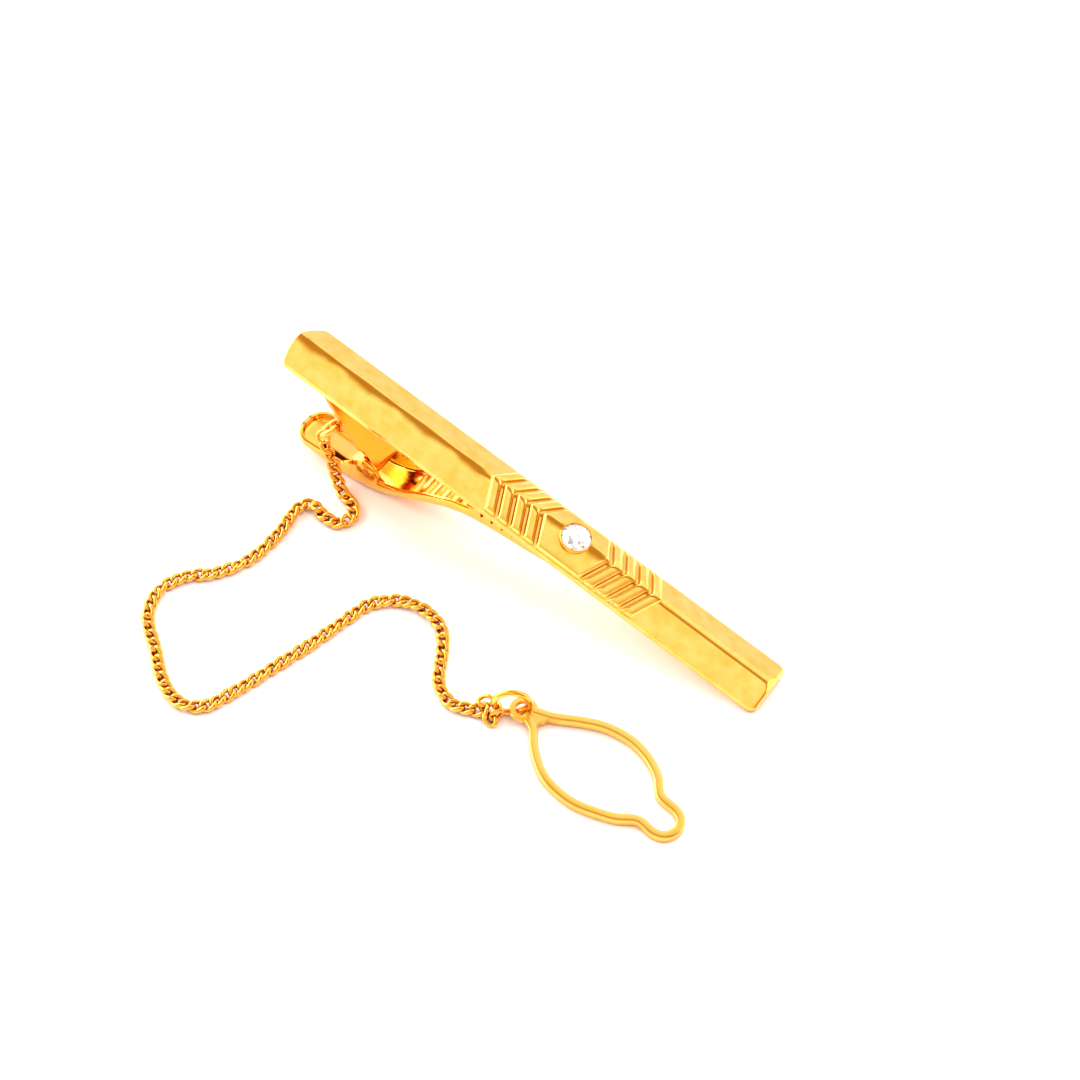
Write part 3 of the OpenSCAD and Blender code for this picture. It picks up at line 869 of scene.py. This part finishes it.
# The middle of the strip, from the eyelet round the nose and back: along the loop and across it
LOOP_LINE = [
    (0.7, 0.45), (1.4, 0.75), (2.4, 1.15), (3.4, 1.75), (4.8, 2.7), (6.5, 3.65), (8, 4.15), (9.7, 4.4),
    (11, 4.3), (12.3, 4), (13.5, 3.5), (14.4, 2.95), (15.3, 2.05), (15.9, 1.65), (16.8, 1.55), (17.8, 1.5),
    (18.7, 1.1), (19.2, 0.25), (19.15, -0.55), (18.8, -1.2), (18.15, -1.6), (17.4, -1.7), (16.5, -1.6),
    (15.8, -1.7), (15.2, -2.1), (14.2, -2.9), (12.9, -3.5), (11, -4.2), (9.4, -4.45), (7.4, -4.35),
    (6, -3.95), (4.8, -3.3), (3.7, -2.5), (2.9, -1.75), (2.1, -0.95), (1.3, -0.6), (0.7, -0.45),
]

# Half of the strip's section, from its top to its foot: across and up
STRIP_SECTION = ((0.12, 0.86), (0.3, 0.85), (0.37, 0.82), (0.41, 0.77), (0.42, 0.7), (0.42, 0.06), (0.36, 0))
EYELET_R, EYELET_HOLE_R, EYELET_T = 1.4, 0.75, 0.45
EYELET_SECTION = (
    (EYELET_HOLE_R, LOOP_T - 0.1), (EYELET_HOLE_R + 0.08, LOOP_T), (EYELET_R - 0.12, LOOP_T - 0.02),
    (EYELET_R, LOOP_T - 0.14), (EYELET_R, LOOP_T - EYELET_T + 0.06), (EYELET_R - 0.06, LOOP_T - EYELET_T),
    (EYELET_HOLE_R, LOOP_T - EYELET_T),
)

# The eyelet's end stands a little higher than the nose
LOOP_REACH = 19.5
EYELET_TILT = math.radians(0.55)
EYELET_LIFT = LOOP_REACH * math.sin(EYELET_TILT)

# The web between the eyelet and the strip's two ends
NECK_OUTLINE = (
    (0.5, 0.75), (1.4, 0.95), (2.6, 1.2), (2.4, 0.35), (2.15, 0), (2.2, -0.5), (2.3, -1.2), (1.4, -0.95),
    (0.5, -0.75),
)
NECK_FOOT, NECK_TOP = 0.02, 0.84


def on_loop(s, q, z):
    """A point given along the loop, across it and up, in millimetres."""
    tilted = Matrix.Rotation(LOOP_TURN, 3, "Z") @ Matrix.Rotation(EYELET_TILT, 3, "Y")
    return MM * (LOOP_AT + CHAIN_SHIFT + Vector((0, 0, EYELET_LIFT)) + tilted @ Vector((s, q, z)))


def loop_strip():
    """The strip swept along its line."""
    line = flat_curve(LOOP_LINE, LOOP_STEPS)
    section = [(-a, z) for a, z in reversed(STRIP_SECTION)] + list(STRIP_SECTION)
    rings = []
    for i, (s, q) in enumerate(line):
        sa, qa = line[max(i - 1, 0)]
        sb, qb = line[min(i + 1, len(line) - 1)]
        size = math.hypot(sb - sa, qb - qa)
        across = ((qa - qb) / size, (sb - sa) / size)
        rings.append([on_loop(s + a * across[0], q + a * across[1], z) for a, z in section])
    return loft(rings)


def neck_plate():
    """The web as a plate with upright sides."""
    count = len(NECK_OUTLINE)
    points = [on_loop(a, b, z) for z in (NECK_FOOT, NECK_TOP) for a, b in NECK_OUTLINE]
    faces = [tuple(range(count)), tuple(count + k for k in reversed(range(count)))]
    for k in range(count):
        m = (k + 1) % count
        faces.append((k, k + count, m + count, m))
    return points, faces


def add_loop():
    points, faces = [], []
    for more_points, more_faces in (loop_strip(), lathe(EYELET_SECTION, on_loop), neck_plate()):
        start = len(points)
        points += more_points
        faces += [tuple(start + k for k in face) for face in more_faces]
    loop = add_mesh("button_strip", points, faces, GOLD_SATIN, "loop")
    sharpen(loop, 40)
    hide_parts("button_loop")
    return loop


add_chain()


# ---------------------------------------------------------------- carried-over pieces

RING_SWELL = 0.08
LOOKS = {
    "hinge_bracket": GOLD_SHADED,
    "hinge_pin": GOLD_BRIGHT,
    "clip_ring": GOLD_BRIGHT,
    "chain_first_link": GOLD_BRIGHT,
    "chain_last_link": GOLD_BRIGHT,
    "loop_ring": GOLD_BRIGHT,
}
for node, look in LOOKS.items():
    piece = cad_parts[node]
    piece.data.materials.clear()
    piece.data.materials.append(look)
for node in ("clip_ring", "loop_ring"):
    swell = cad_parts[node].modifiers.new("swell", "DISPLACE")
    swell.mid_level = 0
    swell.strength = RING_SWELL * MM


# ---------------------------------------------------------------- stage

TABLE_REACH = 2.0
TABLE_COLOUR = (1, 0.9, 0.905, 1)
TABLE_ROUGHNESS = 0.6


def add_floor():
    material, _, shader = node_material("table")
    shader.inputs["Base Color"].default_value = TABLE_COLOUR
    shader.inputs["Roughness"].default_value = TABLE_ROUGHNESS
    data = bpy.data.meshes.new("table")
    corners = [(x * TABLE_REACH, y * TABLE_REACH, 0) for x, y in ((-1, -1), (1, -1), (1, 1), (-1, 1))]
    data.from_pydata(corners, [], [(0, 1, 2, 3)])
    data.materials.append(material)
    floor = bpy.data.objects.new("table", data)
    bpy.context.scene.collection.objects.link(floor)


def add_area(name, place, aim, size, power, colour):
    data = bpy.data.lights.new(name, "AREA")
    data.shape = "RECTANGLE"
    data.size, data.size_y = size
    data.energy = power
    data.color = colour
    light = bpy.data.objects.new(name, data)
    light.location = place
    light.visible_glossy = False
    light.rotation_euler = (Vector(aim) - Vector(place)).to_track_quat("-Z", "Y").to_euler()
    bpy.context.scene.collection.objects.link(light)


ROOM_GAIN = 5

# Light over the arc from front to back, past the dark gap overhead
ARC_STOPS = (
    (0, (0.8, 0.7, 0.6)), (0.28, (1, 0.95, 0.85)), (0.35, (1.1, 1.1, 1)), (0.412, (1.3, 1.35, 1.3)),
    (0.452, (1, 0.85, 0.55)), (0.49, (0.58, 0.31, 0.08)), (0.55, (0.6, 0.33, 0.08)), (0.6, (0.95, 0.7, 0.4)),
    (0.68, (1.3, 1.4, 1.5)), (0.85, (1.25, 1.3, 1.5)), (0.93, (1.1, 1.1, 1.2)), (1, (1.1, 1.1, 1.3)),
)

# Light on the right and left sides, from front to back, and where each side takes over from the arc
RIGHT_STOPS = (
    (0, (1, 0.8, 0.6)), (0.35, (0.95, 0.55, 0.25)), (0.5, (0.6, 0.25, 0.06)), (0.6, (0.9, 0.5, 0.2)),
    (0.7, (1.7, 1.7, 1.7)), (1, (1.6, 1.6, 1.6)),
)
LEFT_STOPS = ((0, (1.6, 1.6, 1.6)), (0.4, (4.6, 4.6, 4.6)), (0.65, (4.6, 4.6, 4.6)), (1, (2, 2, 2)))
RIGHT_EDGE = (0.3, 0.65)
LEFT_EDGE = (-0.5, -0.85)


def lit(red, green, blue):
    """A colour of light as the ramps hold it, which the world's strength brings back to full."""
    return (red / ROOM_GAIN, green / ROOM_GAIN, blue / ROOM_GAIN)


def add_world():
    """A light tent: bright in front, behind and on the left, with a dark gap overhead and on the right."""
    world = bpy.data.worlds.new("studio")
    world.use_nodes = True
    tree = world.node_tree
    back = tree.nodes["Background"]
    place = tree.nodes.new("ShaderNodeTexCoord")
    axes = tree.nodes.new("ShaderNodeSeparateXYZ")
    tree.links.new(place.outputs["Generated"], axes.inputs["Vector"])
    angle = tree.nodes.new("ShaderNodeMath")
    angle.operation = "ARCTAN2"
    tree.links.new(axes.outputs["Y"], angle.inputs[0])
    tree.links.new(axes.outputs["Z"], angle.inputs[1])

    def card(source, low, high, stops):
        ramp = ramp_node(tree, [(place, lit(*shade)) for place, shade in stops])
        tree.links.new(spread(tree, source, low, high), ramp.inputs["Fac"])
        return ramp.outputs["Color"]

    arc = card(angle.outputs["Value"], -math.pi / 2, math.pi / 2, ARC_STOPS)
    right = card(axes.outputs["Y"], -1, 1, RIGHT_STOPS)
    left = card(axes.outputs["Y"], -1, 1, LEFT_STOPS)
    with_right = blend_colours(tree, spread(tree, axes.outputs["X"], *RIGHT_EDGE), arc, right)
    room = blend_colours(tree, spread(tree, axes.outputs["X"], *LEFT_EDGE), with_right, left)
    tree.links.new(room, back.inputs["Color"])
    back.inputs["Strength"].default_value = ROOM_GAIN
    bpy.context.scene.world = world


bpy.context.scene.view_settings.view_transform = "Standard"
add_floor()
add_world()
add_area("soft_top", (0.1, 0.25, 0.45), (0, 0, 0), (0.5, 0.5), 2.6, (1, 0.98, 0.95))
add_area("soft_side", (-0.4, -0.1, 0.35), (0, 0, 0), (0.3, 0.3), 1.0, (1, 0.97, 0.93))
